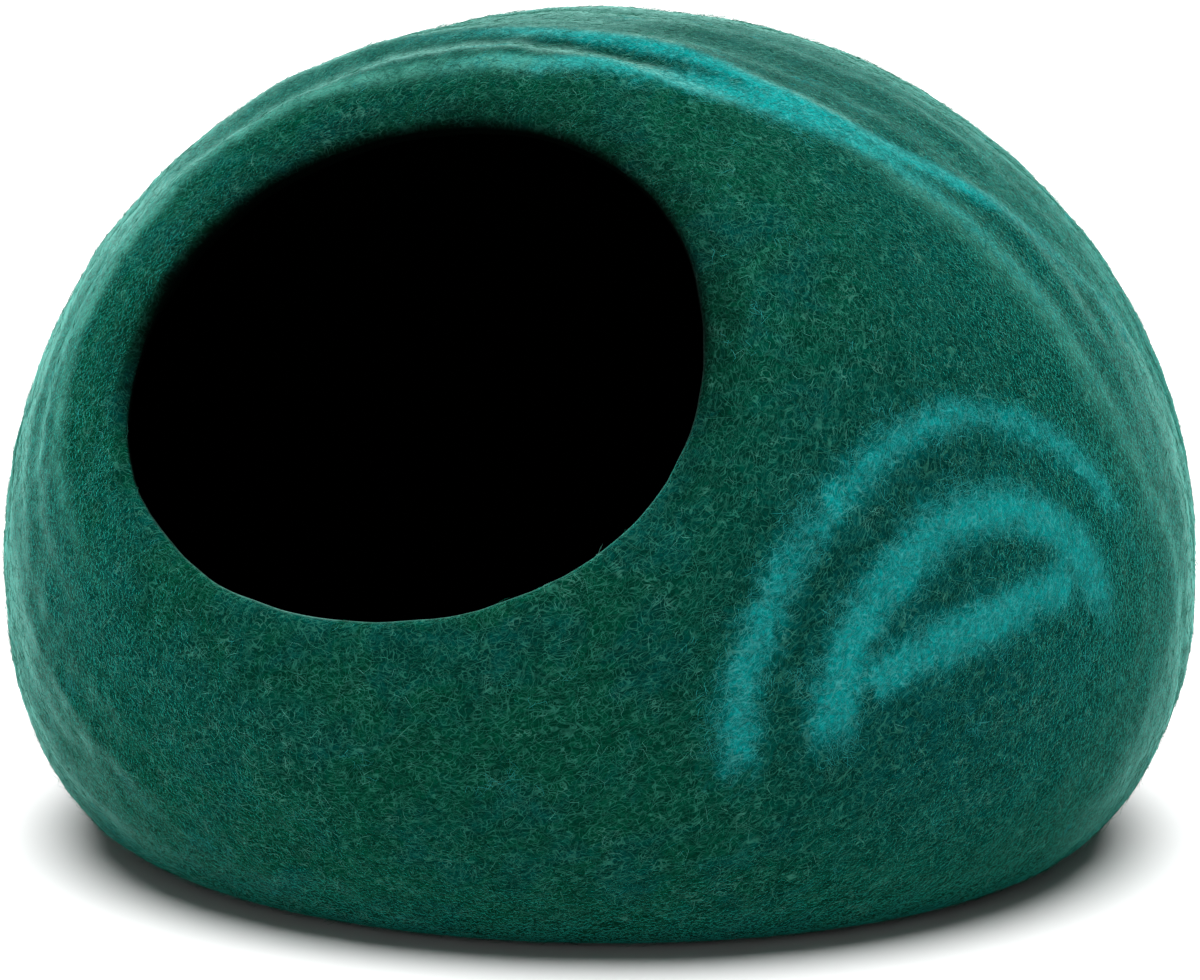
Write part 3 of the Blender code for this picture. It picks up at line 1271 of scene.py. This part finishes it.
    def paths(self, luck: np.random.Generator) -> tuple[np.ndarray, np.ndarray]:
        """Points along each fibre, and the skin's normal at each.

        Args:
            luck: The random numbers.

        Returns:
            Two arrays of fibre, point and coordinate.
        """
        lot = self.lot
        spots, normals = self.roots(luck)
        flow = self.lay_direction(spots, normals, luck)
        across = np.cross(normals, flow)
        length = luck.uniform(*lot.length, lot.count)
        along = np.linspace(-0.5, 0.5, lot.points)
        bend = luck.normal(0.0, lot.curl, lot.count)
        wave = luck.normal(0.0, lot.curl, lot.count)
        phase = luck.uniform(0.0, 2.0 * math.pi, lot.count)
        bow = self.bow[0] * along ** 2 - self.bow[1]
        swing = np.sin(2.0 * math.pi * along * self.waves + phase[:, None])
        side = bend[:, None] * bow + wave[:, None] * swing
        raw = spots[:, None] + flow[:, None] * (along * length[:, None])[..., None]
        raw += across[:, None] * (side * length[:, None])[..., None]
        lift = luck.uniform(*lot.lift, lot.count)
        arch = lift[:, None] * np.cos(math.pi * along) ** self.arch_power - self.sunk
        loose = luck.random(lot.count) < lot.loose_share
        rise = luck.uniform(*self.loose_rise, lot.count) * lot.loose_lift
        up_end = rise[:, None] * (along + 0.5) ** self.loose_power
        arch += np.where(loose[:, None], up_end, 0.0)
        points, ups = np.empty_like(raw), np.empty_like(raw)
        nearest = self.skin.find_nearest
        for fibre in range(lot.count):
            for step in range(lot.points):
                place, up, _, _ = nearest(Vector(raw[fibre, step]))
                points[fibre, step], ups[fibre, step] = place, up
        points += ups * arch[..., None]
        points[..., 2] = np.maximum(points[..., 2], self.floor_height)
        return points, ups

    def build(self) -> None:
        """Model the fibres: closed three-sided strands with pointed ends."""
        lot = self.lot
        luck = np.random.default_rng(lot.seed)
        mesh = self.shell.piece.data
        self.skin = BVHTree.FromPolygons([v.co for v in mesh.vertices],
                                         [p.vertices[:] for p in mesh.polygons])
        points, ups = self.paths(luck)
        middle = points[:, 1:-1]
        ahead = unit(points[:, 2:] - points[:, :-2])
        sideways = unit(np.cross(ahead, ups[:, 1:-1]))
        upwards = np.cross(sideways, ahead)
        size = luck.uniform(*self.thickness_spread, lot.count) * lot.thickness / 2.0
        share = np.linspace(0.0, 1.0, lot.points)[1:-1]
        inner_power, outer_power = self.taper_powers
        taper = np.sin(math.pi * share ** inner_power)[None, :] ** outer_power * size[:, None]
        rings = []
        for corner in range(STRAND_SIDES):
            angle = math.radians(90.0 + 360.0 / STRAND_SIDES * corner)
            aside = sideways * math.cos(angle) + upwards * math.sin(angle)
            rings.append(middle + aside * taper[..., None])
        ring_points = np.stack(rings, axis=2).reshape(lot.count, -1, 3)
        body = np.concatenate((points[:, :1], ring_points, points[:, -1:]), axis=1)
        pattern = np.array(strand_faces(lot.points - 2, STRAND_SIDES))
        starts = body.shape[1] * np.arange(lot.count)[:, None, None]
        faces = (pattern[None] + starts).reshape(-1, 3)
        self.piece = add_triangles(f"fibres_{lot.tone.name.lower()}", body.reshape(-1, 3), faces)
        shades = luck.integers(0, len(FibreFinish(lot.tone).shares()), lot.count)
        self.piece.data.polygons.foreach_set("material_index", np.repeat(shades, len(pattern)))

    def dress(self) -> None:
        """Give the fibres their finish and attach them to the body."""
        for material in FibreFinish(self.lot.tone).make():
            self.piece.data.materials.append(material)
        pick(self.piece)
        bpy.ops.object.shade_smooth()
        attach(self.piece, BODY)


def strand_faces(rings: int, sides: int) -> list[tuple[int, int, int]]:
    """Triangles of one closed strand.

    Args:
        rings: Rings between the two pointed ends.
        sides: Corners of a ring.

    Returns:
        Corner numbers, with the first end as 0 and the second as the last.
    """
    faces = []
    last = 1 + rings * sides
    for corner in range(sides):
        after = (corner + 1) % sides
        faces.append((0, 1 + after, 1 + corner))
        faces.append((last, last - sides + corner, last - sides + after))
        for ring in range(rings - 1):
            low, high = 1 + ring * sides, 1 + (ring + 1) * sides
            faces.append((low + corner, low + after, high + after))
            faces.append((low + corner, high + after, high + corner))
    return faces


def add_triangles(name: str, places: np.ndarray, faces: np.ndarray) -> bpy.types.Object:
    """Object with a mesh of triangles, at the origin.

    Args:
        name: The object's name.
        places: Corners in metres, a row each.
        faces: Three corner numbers for each triangle, a row each.

    Returns:
        The object.
    """
    mesh = bpy.data.meshes.new(name)
    mesh.vertices.add(len(places))
    mesh.vertices.foreach_set("co", places.astype(np.float32).ravel())
    mesh.loops.add(faces.size)
    mesh.loops.foreach_set("vertex_index", faces.astype(np.int32).ravel())
    mesh.polygons.add(len(faces))
    mesh.polygons.foreach_set("loop_start", np.arange(0, faces.size, 3, dtype=np.int32))
    mesh.update(calc_edges=True)
    mesh.validate()
    made = bpy.data.objects.new(name, mesh)
    bpy.context.scene.collection.objects.link(made)
    return made


def pick(made: bpy.types.Object) -> None:
    """Select one object alone and make it the active one.

    Args:
        made: The object.
    """
    bpy.ops.object.select_all(action="DESELECT")
    made.select_set(True)
    bpy.context.view_layer.objects.active = made


def clear_choice(mesh: bpy.types.Mesh) -> None:
    """Deselect every vertex, edge and face."""
    for parts in (mesh.vertices, mesh.edges, mesh.polygons):
        parts.foreach_set("select", np.zeros(len(parts), bool))


def read_rows(parts: Any, name: str) -> np.ndarray:
    """Read one vector of each part of a mesh.

    Args:
        parts: The vertices, their normals or the faces.
        name: The vector's name.

    Returns:
        The vectors, a row each.
    """
    rows = np.empty(len(parts) * 3)
    parts.foreach_get(name, rows)
    return rows.reshape(-1, 3)


def vertex_places(mesh: bpy.types.Mesh) -> tuple[np.ndarray, np.ndarray]:
    """Places and normals of a mesh's vertices, a row each."""
    return read_rows(mesh.vertices, "co"), read_rows(mesh.vertex_normals, "vector")


def face_places(mesh: bpy.types.Mesh) -> tuple[np.ndarray, np.ndarray]:
    """Middles and normals of a mesh's faces, a row each."""
    return read_rows(mesh.polygons, "center"), read_rows(mesh.polygons, "normal")


def write_values(mesh: bpy.types.Mesh, name: str, values: np.ndarray) -> None:
    """Write one value for each vertex as an attribute of the mesh."""
    made = mesh.attributes.new(name, "FLOAT", "POINT")
    made.data.foreach_set("value", values.astype(np.float32))


@dataclass
class Studio:
    """Plain pale floor, soft light and the camera, with angles in degrees."""

    azimuth: float = 25.13
    elevation: float = 10.0
    distance: float = 1.6
    look_height: float = 0.140
    aim: Triple = (-0.0004, 0.0, 0.1134)
    lens: float = 142.9
    sensor_width: float = 36.0
    floor_size: float = 12.0
    paper: Triple = (0.90, 0.90, 0.90)
    sky: float = 0.05
    overhead: float = 6.9
    overhead_angle: float = 66.0
    overhead_from: Triple = (-0.03, 0.05, 2.0)
    frontal: float = 0.5
    frontal_angle: float = 60.0
    frontal_from: Triple = (0.52, -1.91, 0.28)

    def build(self) -> None:
        """Set up the floor, the light and the camera."""
        bpy.context.scene.view_settings.view_transform = "Standard"
        self.add_floor()
        self.add_sky()
        self.add_sun("soft_overhead", self.overhead, self.overhead_angle, self.overhead_from)
        self.add_sun("soft_frontal", self.frontal, self.frontal_angle, self.frontal_from)
        self.add_camera()

    def add_floor(self) -> None:
        """A wide, pale sheet of studio paper."""
        bpy.ops.object.select_all(action="DESELECT")
        bpy.ops.mesh.primitive_grid_add(x_subdivisions=8, y_subdivisions=8, size=self.floor_size)
        floor = bpy.context.object
        floor.name = "studio_floor"
        nodes = Nodes("studio_paper")
        grain = nodes.noise(nodes.place, 30.0, detail=3.0)
        nodes.set("Base Color", self.paper)
        nodes.set("Roughness", nodes.span(grain, 0.3, 0.7, start=0.8, end=0.9))
        floor.data.materials.append(nodes.material)

    def add_sky(self) -> None:
        """Even white light from all round."""
        world = bpy.data.worlds.new("studio")
        world.use_nodes = True
        shade = world.node_tree.nodes["Background"]
        shade.inputs["Color"].default_value = (1.0, 1.0, 1.0, 1.0)
        shade.inputs["Strength"].default_value = self.sky
        bpy.context.scene.world = world

    def add_sun(self, name: str, energy: float, angle: float, source: Triple) -> None:
        """A wide, soft light from far away.

        Args:
            name: The light's name.
            energy: Its strength.
            angle: Its width in degrees, as seen from the cave.
            source: The direction that it comes from.
        """
        light = bpy.data.lights.new(name, "SUN")
        light.energy = energy
        light.angle = math.radians(angle)
        made = bpy.data.objects.new(name, light)
        made.location = source
        made.rotation_euler = (-Vector(source)).to_track_quat("-Z", "Y").to_euler()
        bpy.context.scene.collection.objects.link(made)

    def add_camera(self) -> None:
        """The camera, at the photograph's viewing angle."""
        turn, rise = math.radians(self.azimuth), math.radians(self.elevation)
        back = Vector((math.sin(turn) * math.cos(rise), -math.cos(turn) * math.cos(rise),
                       math.sin(rise)))
        eye = Vector((0.0, 0.0, self.look_height)) + back * self.distance
        lens = bpy.data.cameras.new("studio_camera")
        lens.lens = self.lens
        lens.sensor_width = self.sensor_width
        made = bpy.data.objects.new("studio_camera", lens)
        made.location = eye
        made.rotation_euler = (Vector(self.aim) - eye).to_track_quat("-Z", "Y").to_euler()
        bpy.context.scene.collection.objects.link(made)
        bpy.context.scene.camera = made


def report(made: bpy.types.Object) -> None:
    """Log a piece's name and its number of triangles."""
    made.data.calc_loop_triangles()
    LOG.info("%s: %d triangles", made.name, len(made.data.loop_triangles))


def main() -> None:
    """Build the cave and its studio."""
    logging.basicConfig(level=logging.INFO, format="%(name)s: %(message)s")
    layout = Layout()
    shell = FeltShell(layout, TealWool(layout), PaleWool(layout))
    shell.build()
    shell.dress()
    report(shell.piece)
    lots = (
        Lot(WoolTone.LEAF, 12000, 11),
        Lot(WoolTone.EMERALD, 13000, 12, loose_share=0.3, loose_lift=0.0011),
        Lot(WoolTone.SAGE, 10500, 13, points=5, length=(0.0050, 0.0150), thickness=0.00010,
            loose_share=0.45, loose_lift=0.0015),
        Lot(WoolTone.FROST, 15500, 14, length=(0.0028, 0.0068), thickness=0.00009,
            scatter=60.0, loose_share=0.9, loose_lift=0.0023),
        Lot(WoolTone.TEAL, 9000, 15, thickness=0.00012),
    )
    for lot in lots:
        coat = FibreCoat(shell, lot)
        coat.build()
        coat.dress()
        report(coat.piece)
    Studio().build()


if __name__ == "__main__":
    main()
